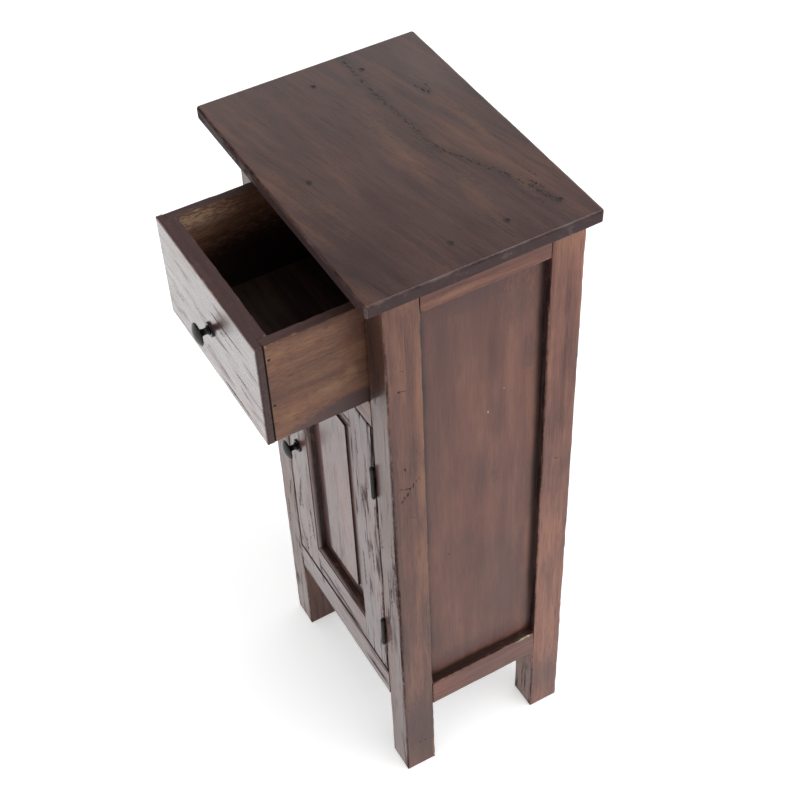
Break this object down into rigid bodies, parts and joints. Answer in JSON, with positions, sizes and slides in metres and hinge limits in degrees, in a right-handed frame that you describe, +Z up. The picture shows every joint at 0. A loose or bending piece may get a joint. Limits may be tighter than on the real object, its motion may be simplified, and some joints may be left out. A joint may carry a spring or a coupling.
{
  "type": "telephone table",
  "caption": "Tall narrow telephone table with square posts, a thin overhanging top, a drawer with a round knob, and a hinged panelled cupboard door below.",
  "frame": {"origin": "on the floor, under the middle of the top board", "axes": "+X to the right as seen from the front, the front with its drawer and door faces -Y, +Z up"},
  "size_m": [0.374, 0.3745, 0.88],
  "materials": {
    "top_wood": "dark brown stain under semi-gloss lacquer, grain from side to side",
    "post_wood": "warm brown stain, semi-gloss lacquer, upright grain, worn arrises",
    "rail_wood": "warm brown stain, semi-gloss lacquer",
    "door_wood": "brown stain under glossy lacquer, upright grain with open cracks",
    "drawer_front_wood": "brown stain under glossy lacquer, grain from side to side",
    "drawer_box_wood": "thin brown stain, low sheen",
    "panel_wood": "reddish brown stain, semi-gloss lacquer",
    "inner_wood": "dark stained wood, little sheen",
    "filler": "dark wood filler",
    "black_iron": "black finish, satin to gloss",
    "bare_steel": "dull zinc and bare steel",
    "catch_plastic": "brown moulded plastic"
  },
  "bodies": {
    "case": {"back_bottom_rail": "rail_wood", "back_panel": "panel_wood", "back_top_rail": "rail_wood", "catch_screws": "bare_steel", "cleat_screws": "bare_steel", "cupboard_floor": "inner_wood", "door_catch": "catch_plastic", "door_stop": "inner_wood", "drawer_divider_rail": "rail_wood", "drawer_stops": "inner_wood", "front_bottom_rail": "rail_wood", "front_left_post": "post_wood", "front_right_post": "post_wood", "front_top_rail": "rail_wood", "hinge_case_screws": "black_iron", "left_bottom_rail": "rail_wood", "left_drawer_guide": "inner_wood", "left_drawer_kicker": "inner_wood", "left_drawer_runner": "inner_wood", "left_floor_cleat": "inner_wood", "left_side_panel": "panel_wood", "left_top_rail": "rail_wood", "lower_hinge_case_leaf": "black_iron", "lower_hinge_pin": "black_iron", "rear_left_post": "post_wood", "rear_right_post": "post_wood", "right_bottom_rail": "rail_wood", "right_drawer_guide": "inner_wood", "right_drawer_kicker": "inner_wood", "right_drawer_runner": "inner_wood", "right_floor_cleat": "inner_wood", "right_side_panel": "panel_wood", "right_top_rail": "rail_wood", "runner_and_kicker_screws": "bare_steel", "top_board": "top_wood", "top_nails": "bare_steel", "top_plugs": "filler", "upper_hinge_case_leaf": "black_iron", "upper_hinge_pin": "black_iron"},
    "drawer": {"drawer_front": "drawer_front_wood", "drawer_left_side": "drawer_box_wood", "drawer_right_side": "drawer_box_wood", "drawer_back": "drawer_box_wood", "drawer_bottom": "drawer_box_wood", "drawer_knob": "black_iron", "drawer_knob_screw": "bare_steel", "drawer_nails": "bare_steel"},
    "door": {"door_hinge_stile": "door_wood", "door_latch_stile": "door_wood", "door_top_rail": "door_wood", "door_bottom_rail": "door_wood", "door_panel": "door_wood", "door_knob": "black_iron", "door_knob_screw": "bare_steel", "door_strike_plate": "bare_steel", "strike_screws": "bare_steel", "hinge_door_screws": "black_iron", "upper_hinge_door_leaf": "black_iron", "lower_hinge_door_leaf": "black_iron"}
  },
  "joints": [
    {"name": "drawer_slide", "type": "slide", "parent": "case", "child": "drawer", "axis": [0, -1, 0], "range_m": [-0.118, 0.042]},
    {"name": "door_hinge", "type": "hinge", "parent": "case", "child": "door", "pos_m": [0.12, -0.106, 0.412], "axis": [0, 0, 1], "range_deg": [0, 175]}
  ]
}
